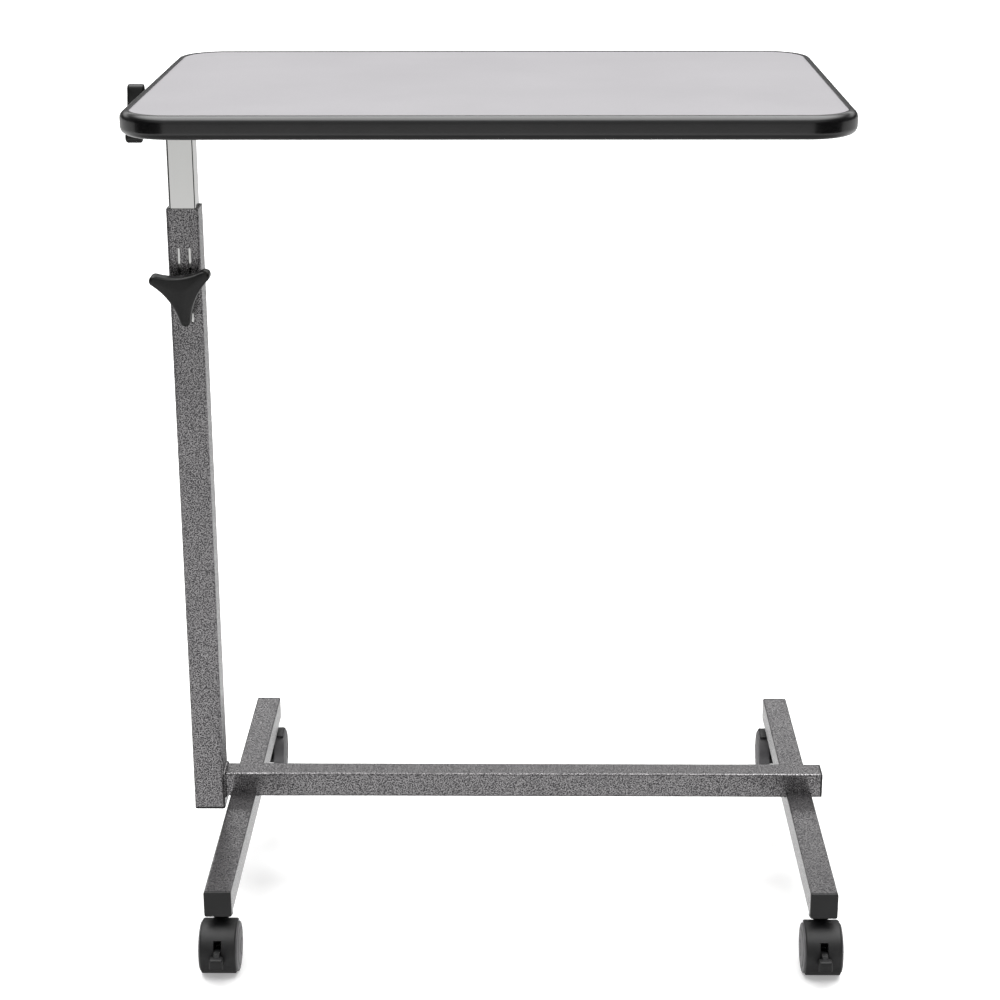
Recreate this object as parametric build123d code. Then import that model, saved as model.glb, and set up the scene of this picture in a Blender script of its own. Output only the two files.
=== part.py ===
from build123d import *
import os
from math import cos, sin, radians

# Overbed table on four swivel casters: a tilting laminate top carried at its left end by a
# telescopic post, on a base of one bar laid across two feet. Millimetres, +Z up, +X to the
# right, +Y to the back. The origin is on the floor, in the middle of the overall box.

# Tabletop
board_length = 600.0
board_depth = 400.0
board_corner_radius = 37.0
core_thickness = 16.0
laminate_thickness = 1.0
backing_thickness = 0.8
trim_width = 8.0
trim_round = 7.0
trim_lip = 0.4
trim_below_board = 1.8
barb_depth = 6.0
barb_thickness = 2.2

# Outer post, square tube
post_wall = 1.5
post_corner = 2.5
post_length = 602.5
post_below_bar = 10.5
slit_spacing = 10.0
slit_width = 2.5
slit_length = 71.0
slit_below_top = 36.0

# Inner post, chromed square tube
inner_size = 25.0
inner_wall = 1.5
inner_corner = 2.0
inner_length = 399.0
inner_above_pivot = 7.0
bush_length = 32.0
bush_wall = 0.88
glide_flange = 10.0
pivot_above_post = 80.5

# Base bar and feet, square tube
tube_size = 25.0
tube_wall = 1.5
tube_corner = 2.0
bar_overhang = 8.5
bar_plug = 7.0
foot_length = 437.0
foot_spacing = 552.0
post_to_foot = 6.5
saddle_depth = 5.0

# Plastic caps in the tube ends
cap_flange = 2.0
post_cap_flange = 2.5
foot_cap_flange = 3.0
cap_plug = 14.0
cap_wall = 2.5

# Welds
post_bead = 2.4
foot_bead = 3.0
rail_bead = 2.5

# Knob shared by the height clamp and the tilt clamp
lobe_count = 3
lobe_reach = 31.5
lobe_tip_radius = 5.0
lobe_waist = 14.0
knob_thickness = 16.0
knob_round = 2.6
knob_neck_radius = 8.5
knob_lean = 5.5
stud_radius = 4.0
thread_pitch = 1.25
knob_travel_turns = 1.25

# Height clamp on the front of the outer post
strap_width = 24.0
strap_height = 12.0
strap_thickness = 3.0
nut_across_flats = 13.0
nut_thickness = 5.0
pad_radius = 5.5
pad_thickness = 2.2
pad_socket_radius = 2.5
pad_socket_depth = 1.2
height_knob_neck = 2.4

# Tilt clamp and bracket under the board
pivot_below_top = 34.0
ear_thickness = 3.0
ear_width = 30.0
ear_round = 12.0
plate_right = 60.0
plate_window = 32.0
friction_washer_radius = 11.0
friction_washer_thickness = 1.5
flat_washer_radius = 10.0
flat_washer_thickness = 1.6
tilt_knob_neck = 12.0
insert_radius = 6.0
insert_length = 10.0
bolt_head_height = 5.3
bolt_end_in_knob = 17.0
spacer_radius = 7.0

# Rails that stiffen the board
rail_size = 20.0
rail_wall = 1.2
rail_corner = 1.5
rail_length = 500.0
rail_spacing = 150.0
rail_start = 12.0
screw_radius = 2.0
screw_head_radius = 4.0
screw_head_height = 2.2
screw_bite = 11.0
screws_per_rail = 4
screw_margin = 30.0

# Casters
wheel_radius = 23.0
wheel_outer = 17.8
wheel_dome = 1.6
wheel_flat_radius = 7.0
wheel_round = 1.3
wheel_recess = 2.5
wheel_hub_radius = 8.0
wheel_rim_depth = 3.8
axle_radius = 3.0
axle_cover = 2.2
caster_trail = 18.0
stem_from_foot_end = 27.0
hood_gap = 0.6
hood_wall = 2.0
hood_below_foot = 8.9
hood_half_width = 16.4
hood_front_angle = -45.0
hood_back_angle = 118.0
web_half_width = 5.6
web_radius = 13.0
boss_radius = 10.0
stem_radius = 4.0
stem_above = 18.0
stem_below = 23.5
stem_cover = 9.0
washer_radius = 11.0
washer_thickness = 1.5

# Brake lever on each front caster
lever_half_width = 2.9
lever_hub_radius = 6.0
lever_room_radius = 9.5
lever_root_half = 3.0
lever_arm_top = 8.5
lever_arm_bottom = -1.5
pedal_width = 15.0
pedal_depth = 8.5
pedal_bottom = -5.0
pedal_top = 12.5
pedal_gap = 3.0
pedal_round = 1.2
slot_low_angle = -28.0
slot_high_angle = 39.0

# Named clearances
running_gap = 0.05
slide_gap = 0.10
push_fit = 0.02
thrust_gap = 0.30
loose_gap = 0.50

# Sizes that follow from the fits
post_size = inner_size + 2 * (slide_gap + bush_wall + push_fit + post_wall)
board_thickness = core_thickness + laminate_thickness + backing_thickness
trim_height = trim_lip + board_thickness + trim_below_board
hood_radius = wheel_radius + hood_gap + hood_wall
caster_height = wheel_radius + hood_radius + hood_below_foot
wheel_inner = web_half_width + hood_gap
axle_half_length = wheel_outer - axle_cover
slot_half_width = lever_half_width + loose_gap
bar_length = post_to_foot + foot_spacing + tube_size + bar_overhang

# Heights
foot_bottom = caster_height
foot_top = foot_bottom + tube_size
bar_bottom = foot_top - saddle_depth
bar_top = bar_bottom + tube_size
bar_middle = bar_bottom + tube_size / 2
post_bottom = bar_bottom - post_below_bar
post_top = post_bottom + post_length
knob_height = post_top - slit_below_top - slit_length / 2
pivot_height = post_top + pivot_above_post
laminate_top = pivot_height + pivot_below_top
board_bottom = laminate_top - board_thickness
core_bottom = board_bottom + backing_thickness
core_top = core_bottom + core_thickness
trim_top = laminate_top + trim_lip

# Distances along X from the post's centre line
ear_inner = inner_size / 2 + slide_gap + friction_washer_thickness
ear_outer = ear_inner + ear_thickness
tilt_washer_face = ear_outer + slide_gap
tilt_knob_face = tilt_washer_face + flat_washer_thickness + slide_gap
tilt_lobe_face = tilt_knob_face + tilt_knob_neck
tilt_knob_end = tilt_lobe_face + knob_thickness
bar_end = post_size / 2 + bar_length + cap_flange
left_foot_offset = post_size / 2 + post_to_foot + tube_size / 2

# Overall box: from the tilt knob to the bar's end cap, and from the pedals to the rear hoods
foot_half = foot_length / 2 + foot_cap_flange
stem_offset = foot_half - stem_from_foot_end
axle_offset = stem_offset + caster_trail
pedal_reach = hood_radius + pedal_gap + pedal_depth
post_x = (tilt_knob_end - bar_end) / 2
mid_y = (pedal_reach - hood_radius) / 2
board_left = post_x - ear_outer - thrust_gap
board_x = board_left + board_length / 2
foot_xs = {
    "left": post_x + left_foot_offset,
    "right": post_x + left_foot_offset + foot_spacing,
}


def block(x0, x1, y0, y1, z0, z1):
    """A box between two opposite corners."""
    size = Box(x1 - x0, y1 - y0, z1 - z0)
    return Pos((x0 + x1) / 2, (y0 + y1) / 2, (z0 + z1) / 2) * size


def rod(radius, z0, z1, x=0.0, y=0.0):
    """An upright cylinder from z0 to z1."""
    return Pos(x, y, (z0 + z1) / 2) * Cylinder(radius, z1 - z0)


def along_x(shape, x=0.0, y=0.0, z=0.0):
    """Turn a shape made along +Z so that it runs along +X from the point given."""
    return Pos(x, y, z) * Rot(0, 90, 0) * shape


def along_y(shape, x=0.0, y=0.0, z=0.0):
    """Turn a shape made along +Z so that it runs along +Y from the point given."""
    return Pos(x, y, z) * Rot(-90, 0, 0) * shape


def against_y(shape, x=0.0, y=0.0, z=0.0):
    """Turn a shape made along +Z so that it runs along -Y, keeping its +Y side up."""
    return Pos(x, y, z) * Rot(90, 0, 0) * shape


def slab(length, depth, corner, z0, z1):
    """A rounded rectangular slab centred on the board."""
    outline = RectangleRounded(length, depth, corner)
    return Pos(board_x, mid_y, z0) * extrude(outline, z1 - z0)


def square_tube(size, wall, corner, length):
    """Square tube standing on z = 0."""
    outer = RectangleRounded(size, size, corner)
    inner_corner_radius = max(corner - wall, 0.4)
    inner = RectangleRounded(size - 2 * wall, size - 2 * wall, inner_corner_radius)
    return extrude(outer - inner, length)


def tube_plug(size, wall, corner, flange, plug):
    """End cap: a flange below z = 0 and a hollow plug above it, inside the tube."""
    face = extrude(RectangleRounded(size, size, corner), -flange)
    face = fillet(face.edges().group_by(Axis.Z)[0], flange * 0.4)
    inside = size - 2 * wall - 2 * push_fit
    inside_corner = max(corner - wall, 0.4)
    body = extrude(RectangleRounded(inside, inside, inside_corner), plug)
    pocket = Pos(0, 0, plug / 2 + cap_wall / 2)
    pocket = pocket * Box(inside - 2 * cap_wall, inside - 2 * cap_wall, plug - cap_wall)
    return face + body - pocket


def polar(radius, angle):
    """Point at a radius and an angle in degrees."""
    return (radius * cos(radians(angle)), radius * sin(radians(angle)))


def lobe_outline(turn):
    """Rounded lobes joined by hollow sides, each side an arc tangent to two lobe tips."""
    step = 360.0 / lobe_count
    centre_reach = lobe_reach - lobe_tip_radius
    half_step = radians(step / 2)
    inset = lobe_waist - lobe_tip_radius
    side_centre = (centre_reach**2 - inset**2) / (2 * (centre_reach * cos(half_step) - inset))
    side_radius = side_centre - lobe_waist
    share = lobe_tip_radius / (lobe_tip_radius + side_radius)
    edges = []
    for index in range(lobe_count):
        angle = turn + index * step
        tip = Vector(*polar(centre_reach, angle))
        before = tip + (Vector(*polar(side_centre, angle - step / 2)) - tip) * share
        after = tip + (Vector(*polar(side_centre, angle + step / 2)) - tip) * share
        next_tip = Vector(*polar(centre_reach, angle + step))
        middle = Vector(*polar(side_centre, angle + step / 2))
        arrival = next_tip + (middle - next_tip) * share
        edges.append(ThreePointArc(before, Vector(*polar(lobe_reach, angle)), after))
        edges.append(ThreePointArc(after, Vector(*polar(lobe_waist, angle + step / 2)), arrival))
    return make_face(Wire(edges))


def knob(neck, turn, bore, bore_depth):
    """Clamp knob standing on its neck at z = 0, with a blind bore up its middle."""
    body = extrude(lobe_outline(turn), knob_thickness)
    body = fillet(body.edges().group_by(Axis.Z)[-1], knob_round)
    body = Pos(0, 0, neck) * body
    return body + rod(knob_neck_radius, 0, neck + knob_round) - rod(bore, 0, bore_depth)


def bead(leg, length):
    """Fillet weld along +Z, its square corner on the Z axis and its legs along +X and +Y."""
    corners = [(0, 0), (leg, 0), (0, leg)]
    return extrude(make_face(Polyline(*corners, close=True)), length)


# Tabletop pieces

def make_core():
    core = slab(board_length, board_depth, board_corner_radius, core_bottom, core_top)
    groove_half = barb_thickness / 2 + push_fit
    middle = trim_top - trim_height / 2
    cut = barb_depth + loose_gap
    whole = slab(board_length + 2, board_depth + 2, board_corner_radius + 1,
                 middle - groove_half, middle + groove_half)
    left = slab(board_length - 2 * cut, board_depth - 2 * cut, board_corner_radius - cut,
                middle - groove_half, middle + groove_half)
    core = core - (whole - left)
    for x, y in screw_places():
        core = core - rod(screw_radius + push_fit, core_bottom, screw_tip() + loose_gap, x, y)
    return core


def make_laminate():
    return slab(board_length, board_depth, board_corner_radius, core_top, laminate_top)


def make_backing():
    sheet = slab(board_length, board_depth, board_corner_radius, board_bottom, core_bottom)
    for x, y in screw_places():
        sheet = sheet - rod(screw_radius + push_fit, board_bottom, core_bottom, x, y)
    return sheet


def make_trim():
    outer_corner = board_corner_radius + trim_width
    rim = slab(board_length + 2 * trim_width, board_depth + 2 * trim_width, outer_corner,
               trim_top - trim_height, trim_top)
    rim = fillet(rim.edges().group_by(Axis.Z)[0], trim_round)
    rim = fillet(rim.edges().group_by(Axis.Z)[-1], trim_round)
    hole = slab(board_length + 2 * push_fit, board_depth + 2 * push_fit,
                board_corner_radius + push_fit, trim_top - trim_height, trim_top)
    middle = trim_top - trim_height / 2
    barb_low = middle - barb_thickness / 2
    barb_high = middle + barb_thickness / 2
    barb = slab(board_length + 1, board_depth + 1, board_corner_radius + 0.5, barb_low, barb_high)
    barb = barb - slab(board_length - 2 * barb_depth, board_depth - 2 * barb_depth,
                       board_corner_radius - barb_depth, barb_low, barb_high)
    return rim - hole + barb


def screw_places():
    """Centres of the wood screws along both rails."""
    first = board_left + rail_start + screw_margin
    step = (rail_length - 2 * screw_margin) / (screws_per_rail - 1)
    return [(first + step * index, mid_y + side * rail_spacing / 2)
            for side in (-1, 1) for index in range(screws_per_rail)]


def screw_tip():
    return core_bottom + screw_bite


def make_rail(side):
    """Square tube under the board; side is -1 at the front and 1 at the back."""
    y = mid_y + side * rail_spacing / 2
    tube = square_tube(rail_size, rail_wall, rail_corner, rail_length)
    tube = along_x(tube, board_left + rail_start, y, board_bottom - rail_size / 2)
    for x, screw_y in screw_places():
        if screw_y == y:
            tube = tube - rod(screw_radius + push_fit, board_bottom - rail_size, board_bottom, x, y)
    return tube


def make_rail_screws():
    screws = []
    head_top = board_bottom - rail_size
    for x, y in screw_places():
        shank = rod(screw_radius, head_top, screw_tip() - screw_radius, x, y)
        tip = Pos(x, y, screw_tip() - screw_radius / 2) * Cone(screw_radius, 0.4, screw_radius)
        head = rod(screw_head_radius, head_top - screw_head_height, head_top, x, y)
        head = fillet(head.edges().group_by(Axis.Z)[0], screw_head_height * 0.6)
        recess = block(x - 2.4, x + 2.4, y - 0.5, y + 0.5,
                       head_top - screw_head_height, head_top - screw_head_height / 2)
        cross = recess.rotate(Axis((x, y, 0), (0, 0, 1)), 90)
        screws.append(head + shank + tip - recess - cross)
    return Compound(children=screws)


def make_rail_caps():
    """One cap in each open end of the two rails."""
    caps = []
    plug = tube_plug(rail_size, rail_wall, rail_corner, cap_flange, cap_plug)
    middle = board_bottom - rail_size / 2
    left = board_left + rail_start
    for side in (-1, 1):
        y = mid_y + side * rail_spacing / 2
        caps.append(along_x(plug, left, y, middle))
        caps.append(Pos(left + rail_length, y, middle) * Rot(0, -90, 0) * plug)
    return Compound(children=caps)


def make_bracket():
    """Plate welded between the rails, with two ears folded down beside the inner post."""
    half_plate = rail_spacing / 2 - rail_size / 2
    plate_bottom = board_bottom - ear_thickness
    shape = block(post_x - ear_outer, post_x + plate_right, mid_y - half_plate,
                  mid_y + half_plate, plate_bottom, board_bottom)
    window = block(post_x - ear_inner, post_x + ear_inner, mid_y - plate_window / 2,
                   mid_y + plate_window / 2, plate_bottom, board_bottom)
    shape = shape - window
    for x in (post_x - ear_outer, post_x + ear_inner):
        ear = block(x, x + ear_thickness, mid_y - ear_width / 2, mid_y + ear_width / 2,
                    pivot_height, board_bottom)
        end = along_x(Cylinder(ear_round, ear_thickness), x + ear_thickness / 2, mid_y, pivot_height)
        taper = block(x, x + ear_thickness, mid_y - ear_round, mid_y + ear_round,
                      pivot_height, board_bottom)
        shape = shape + ear + end + taper
    bore = along_x(Cylinder(stud_radius + running_gap, 4 * ear_outer), post_x, mid_y, pivot_height)
    return shape - bore


def make_bracket_welds():
    """Beads in the corner below the bracket's plate, along each rail."""
    beads = []
    length = plate_right - rail_bead
    start = post_x
    z = board_bottom - ear_thickness
    for side in (-1, 1):
        y = mid_y + side * (rail_spacing / 2 - rail_size / 2)
        fillet_bead = Rot(0, 90, 0) * bead(rail_bead, length)
        if side > 0:
            fillet_bead = mirror(fillet_bead, Plane.XZ)
        beads.append(Pos(start, y, z) * fillet_bead)
    return Compound(children=beads)


def make_pivot_bolt():
    """Hexagon bolt through the ears, its head on the right and its thread in the tilt knob."""
    start = tilt_knob_face + bolt_end_in_knob
    shank = Pos(0, 0, -start) * extrude(Circle(stud_radius), start + ear_outer)
    shank = chamfer(shank.edges().group_by(Axis.Z)[0], 0.8)
    head = Pos(0, 0, ear_outer) * extrude(hexagon(), bolt_head_height)
    return along_x(shank + head, post_x, mid_y, pivot_height)


def hexagon():
    return RegularPolygon(nut_across_flats / 2, 6, major_radius=False)


def make_friction_washers():
    """Two discs between the bracket's ears and the inner post."""
    washers = []
    for side in (-1, 1):
        disc = Cylinder(friction_washer_radius, friction_washer_thickness)
        disc = disc - Cylinder(stud_radius + running_gap, friction_washer_thickness)
        x = post_x + side * (ear_inner - friction_washer_thickness / 2)
        washers.append(along_x(disc, x, mid_y, pivot_height))
    return Compound(children=washers)


def make_tilt_washer():
    disc = Cylinder(flat_washer_radius, flat_washer_thickness)
    disc = disc - Cylinder(stud_radius + running_gap, flat_washer_thickness)
    x = post_x - tilt_washer_face - flat_washer_thickness / 2
    return along_x(disc, x, mid_y, pivot_height)


def make_tilt_knob():
    """Its neck faces +X and one lobe points up."""
    shape = knob(tilt_knob_neck, 0, insert_radius + push_fit, insert_length)
    shape = shape - rod(stud_radius + loose_gap, 0, bolt_end_in_knob + thrust_gap)
    return Pos(post_x - tilt_knob_face, mid_y, pivot_height) * Rot(0, -90, 0) * shape


def make_tilt_insert():
    """Threaded steel sleeve moulded into the tilt knob's neck."""
    sleeve = rod(insert_radius, 0, insert_length) - rod(stud_radius + running_gap, 0, insert_length)
    return Pos(post_x - tilt_knob_face, mid_y, pivot_height) * Rot(0, -90, 0) * sleeve


# Post pieces

def make_outer_post():
    tube = Pos(post_x, mid_y, post_bottom) * square_tube(post_size, post_wall, post_corner, post_length)
    front = mid_y - post_size / 2
    slit_top = post_top - slit_below_top
    end_round = slit_width / 2
    for side in (-1, 1):
        x = post_x + side * slit_spacing / 2
        slit = block(x - end_round, x + end_round, front - 1, front + post_wall + 1,
                     slit_top - slit_length + end_round, slit_top - end_round)
        tube = tube - slit
        for z in (slit_top - slit_length + end_round, slit_top - end_round):
            tube = tube - along_y(Cylinder(end_round, 2 * post_wall + 2), x, front, z)
    return tube


def make_guide_bush():
    """Plastic sleeve inside the top of the outer post."""
    outside = post_size - 2 * post_wall - 2 * push_fit
    inside = inner_size + 2 * slide_gap
    sleeve = RectangleRounded(outside, outside, max(post_corner - post_wall, 0.4))
    sleeve = sleeve - RectangleRounded(inside, inside, inner_corner)
    return Pos(post_x, mid_y, post_top - bush_length) * extrude(sleeve, bush_length)


def make_post_cap():
    cap = tube_plug(post_size, post_wall, post_corner, post_cap_flange, cap_plug)
    return Pos(post_x, mid_y, post_bottom) * cap


def inner_bottom():
    return pivot_height + inner_above_pivot - inner_length


def make_inner_tube():
    tube = square_tube(inner_size, inner_wall, inner_corner, inner_length)
    tube = Pos(post_x, mid_y, inner_bottom()) * tube
    bore = Cylinder(stud_radius + running_gap, 2 * inner_size)
    return tube - along_x(bore, post_x, mid_y, pivot_height)


def make_inner_glide():
    """Plug in the foot of the inner tube; its square head runs inside the outer post."""
    head = post_size - 2 * post_wall - 2 * slide_gap
    head_corner = max(post_corner - post_wall, 0.4)
    shape = extrude(RectangleRounded(head, head, head_corner), -glide_flange)
    inside = inner_size - 2 * inner_wall - 2 * push_fit
    shape = shape + extrude(RectangleRounded(inside, inside, 0.5), cap_plug)
    pocket = Pos(0, 0, (cap_plug - glide_flange) / 2 + cap_wall)
    pocket = pocket * Box(inside - 2 * cap_wall, inside - 2 * cap_wall, cap_plug + glide_flange)
    return Pos(post_x, mid_y, inner_bottom()) * (shape - pocket)


def make_pivot_spacer():
    """Sleeve round the bolt that stops the inner tube being squeezed flat."""
    length = inner_size - 2 * inner_wall - 2 * running_gap
    sleeve = Cylinder(spacer_radius, length) - Cylinder(stud_radius + running_gap, length)
    return along_x(sleeve, post_x, mid_y, pivot_height)


def make_strap():
    """Steel bridge welded over the tongue between the slits; it carries the clamp nut."""
    front = mid_y - post_size / 2
    depth = strap_thickness + pad_space()
    half = strap_width / 2
    low = knob_height - strap_height / 2
    high = knob_height + strap_height / 2
    shape = block(post_x - half, post_x + half, front - depth, front, low, high)
    shape = fillet(shape.edges().filter_by(Axis.Z).group_by(Axis.Y)[0], strap_thickness * 0.8)
    gap = block(post_x - half + strap_thickness, post_x + half - strap_thickness,
                front - pad_space(), front, low, high)
    bore = along_y(Cylinder(stud_radius + running_gap, 4 * depth), post_x, front, knob_height)
    return shape - gap - bore


def pad_space():
    """Room between the post and the strap: the pad, its travel and a clearance."""
    return slide_gap + pad_thickness + thread_pitch * knob_travel_turns + thrust_gap


def clamp_nut_back():
    return post_size / 2 + pad_space() + strap_thickness


def make_clamp_nut():
    shape = extrude(hexagon(), nut_thickness) - rod(stud_radius + running_gap, 0, nut_thickness)
    return against_y(shape, post_x, mid_y - clamp_nut_back(), knob_height)


def height_knob_back():
    return clamp_nut_back() + nut_thickness + thrust_gap


def make_height_pad():
    """Swivelling steel foot of the stud, flat against the tongue."""
    disc = rod(pad_radius, 0, pad_thickness)
    socket = rod(pad_socket_radius + running_gap, pad_thickness - pad_socket_depth, pad_thickness)
    face = post_size / 2 + slide_gap
    return against_y(disc - socket, post_x, mid_y - face, knob_height)


def make_height_stud():
    """Stud fixed in the height knob, with a small nose that sits in the pad's socket."""
    pad_front = post_size / 2 + slide_gap + pad_thickness
    back = pad_front + running_gap
    nose = rod(pad_socket_radius, -pad_socket_depth, 0)
    length = height_knob_back() - back + stud_depth()
    shape = nose + rod(stud_radius, 0, length)
    return against_y(shape, post_x, mid_y - back, knob_height)


def stud_depth():
    """How far the stud reaches into the height knob."""
    return height_knob_neck + knob_thickness - 4.0


def make_height_knob():
    shape = knob(height_knob_neck, 30 + knob_lean, stud_radius + push_fit, stud_depth() + push_fit)
    return against_y(shape, post_x, mid_y - height_knob_back(), knob_height)


# Base pieces

def make_base_bar():
    """Bar from the post's right face, notched underneath where it sits over each foot."""
    tube = square_tube(tube_size, tube_wall, tube_corner, bar_length)
    tube = along_x(tube, post_x + post_size / 2, mid_y, bar_middle)
    notch_half = tube_size / 2 + running_gap
    for x in foot_xs.values():
        tube = tube - block(x - notch_half, x + notch_half, mid_y - tube_size, mid_y + tube_size,
                            bar_bottom - 1, foot_top)
    return tube


def make_bar_cap():
    plug = tube_plug(tube_size, tube_wall, tube_corner, cap_flange, bar_plug)
    x = post_x + post_size / 2 + bar_length
    return Pos(x, mid_y, bar_middle) * Rot(0, -90, 0) * plug


def make_foot(x):
    tube = square_tube(tube_size, tube_wall, tube_corner, foot_length)
    tube = along_y(tube, x, mid_y - foot_length / 2, foot_bottom + tube_size / 2)
    for side in (-1, 1):
        hole = rod(stem_radius + thrust_gap, foot_bottom - 1, foot_bottom + tube_wall + 1,
                   x, mid_y + side * stem_offset)
        tube = tube - hole
    return tube


def make_foot_cap(x, side):
    """Cap of a foot: side is -1 at the front and 1 at the back. The plug grips the stem."""
    plug = stem_from_foot_end - foot_cap_flange + stem_cover
    face = extrude(RectangleRounded(tube_size, tube_size, tube_corner), -foot_cap_flange)
    face = fillet(face.edges().group_by(Axis.Z)[0], 0.8)
    inside = tube_size - 2 * tube_wall - 2 * push_fit
    body = extrude(RectangleRounded(inside, inside, 0.5), plug)
    shape = face + body
    z = foot_bottom + tube_size / 2
    y = mid_y + side * foot_length / 2
    placed = along_y(shape, x, y, z) if side < 0 else against_y(shape, x, y, z)
    socket = rod(stem_radius + push_fit, foot_bottom, foot_bottom + stem_above + loose_gap,
                 x, mid_y + side * stem_offset)
    return placed - socket


def make_post_weld():
    """Weld bead all round the bar where it butts on the post."""
    wide = tube_size + 2 * post_bead
    outline = RectangleRounded(wide, wide, tube_corner + post_bead)
    collar = extrude(outline, post_bead, taper=44)
    bar = extrude(RectangleRounded(tube_size, tube_size, tube_corner), post_bead)
    return along_x(collar - bar, post_x + post_size / 2, mid_y, bar_middle)


def make_foot_welds():
    """Beads in the corner below the bar, along both sides of each foot."""
    beads = []
    length = tube_size - 2 * tube_corner - 2
    for x in foot_xs.values():
        for side in (-1, 1):
            seam = Rot(-90, 0, 0) * bead(foot_bead, length)
            if side < 0:
                seam = mirror(seam, Plane.YZ)
            beads.append(Pos(x + side * (tube_size / 2 + push_fit), mid_y - length / 2, bar_bottom) * seam)
    return Compound(children=beads)


# Casters, made facing -Y round the stem's axis, with the floor at z = 0

def make_stem(x, y):
    """Upright pin of a caster, held in the foot's cap, with the housing turning on it."""
    low = caster_height - stem_below
    pin = rod(stem_radius, low, caster_height + stem_above)
    pin = chamfer(pin.edges().group_by(Axis.Z)[-1], 0.8)
    return Pos(x, y, 0) * pin


def make_thrust_washer(x, y):
    disc = rod(washer_radius, caster_height - washer_thickness, caster_height)
    disc = disc - rod(stem_radius + push_fit, caster_height - washer_thickness, caster_height)
    return Pos(x, y, 0) * disc


def sector(radius, half_width, low_angle, high_angle):
    """Round slice about the axle; angles are measured up from straight ahead."""
    reach = 2 * radius
    steps = 6
    angles = [low_angle + (high_angle - low_angle) * index / steps for index in range(steps + 1)]
    points = [(0, 0)] + [polar(reach, angle) for angle in angles]
    wedge = extrude(make_face(Polyline(*points, close=True)), half_width, both=True)
    slice_ = Cylinder(radius, 2 * half_width) & wedge
    return place_on_axle(slice_)


def place_on_axle(shape):
    """Map a shape made about Z (x ahead, y up) onto the axle: ahead is -Y and up is +Z."""
    turned = Plane(origin=(0, -caster_trail, wheel_radius), x_dir=(0, -1, 0), z_dir=(-1, 0, 0))
    return turned * shape


def wheel_room(side):
    """The space that one wheel turns in."""
    outer = wheel_outer + 4
    room = Cylinder(wheel_radius + hood_gap, outer - web_half_width)
    room = Pos(0, 0, side * (outer + web_half_width) / 2) * room
    return place_on_axle(room)


def make_housing(braked):
    """Hood over both wheels, web between them and boss round the stem, in one moulding."""
    top = caster_height - washer_thickness - thrust_gap
    hood = sector(hood_radius, hood_half_width, hood_front_angle, hood_back_angle)
    web = place_on_axle(Cylinder(web_radius, 2 * web_half_width))
    boss = rod(boss_radius, wheel_radius, top)
    shape = hood + web + boss - wheel_room(-1) - wheel_room(1)
    shape = shape - place_on_axle(Cylinder(axle_radius + push_fit, 4 * wheel_outer))
    shape = shape - rod(stem_radius + running_gap, caster_height - stem_below - thrust_gap, top)
    if braked:
        slot = sector(hood_radius + 2, slot_half_width, slot_low_angle, slot_high_angle)
        hub_room = place_on_axle(Cylinder(lever_room_radius, 2 * slot_half_width))
        shape = shape - slot - hub_room
    return shape


def make_axle():
    return place_on_axle(Cylinder(axle_radius, 2 * axle_half_length))


def make_wheel(side):
    """Moulded wheel with a hollow inner face and a shallow cone over the axle's end."""
    bore = axle_radius + running_gap
    end = axle_half_length + thrust_gap
    rim = wheel_radius - wheel_rim_depth
    points = [
        (0, end), (bore, end), (bore, wheel_inner), (wheel_hub_radius, wheel_inner),
        (wheel_hub_radius + 1, wheel_inner + wheel_recess), (rim - 1, wheel_inner + wheel_recess),
        (rim, wheel_inner), (wheel_radius - wheel_round, wheel_inner),
        (wheel_radius, wheel_inner + wheel_round), (wheel_radius, wheel_outer - wheel_round),
        (wheel_radius - wheel_round, wheel_outer),
    ]
    top = wheel_outer + wheel_dome
    points += [(wheel_flat_radius, top), (0, top)]
    half = make_face(Polyline(*points, close=True))
    wheel = revolve(Plane.XZ * half, Axis.Z)
    if side < 0:
        wheel = mirror(wheel, Plane.XY)
    return place_on_axle(wheel)


def make_lever():
    """Brake lever: a hub on the axle, an arm out through the slot and a pedal."""
    reach = hood_radius + pedal_gap
    hub = Cylinder(lever_hub_radius, 2 * lever_half_width)
    outline = Polyline((0, -lever_root_half), (lever_room_radius, -lever_root_half / 2),
                       (reach, lever_arm_bottom), (reach + pedal_depth / 2, lever_arm_bottom),
                       (reach + pedal_depth / 2, lever_arm_top), (hood_radius, lever_arm_top),
                       (lever_room_radius, lever_root_half), (0, lever_root_half), close=True)
    arm = extrude(make_face(outline), lever_half_width, both=True)
    pedal = block(reach, reach + pedal_depth, pedal_bottom, pedal_top,
                  -pedal_width / 2, pedal_width / 2)
    pedal = fillet(pedal.edges(), pedal_round)
    bore = Cylinder(axle_radius + running_gap, 4 * lever_half_width)
    return place_on_axle(hub + arm + pedal - bore)


def caster_spots():
    """Name, stem centre and heading of each caster; the rear ones face the back."""
    return [(f"{row}_{name}", x, mid_y + side * stem_offset, 0 if side < 0 else 180)
            for row, side in (("front", -1), ("rear", 1)) for name, x in foot_xs.items()]


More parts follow.
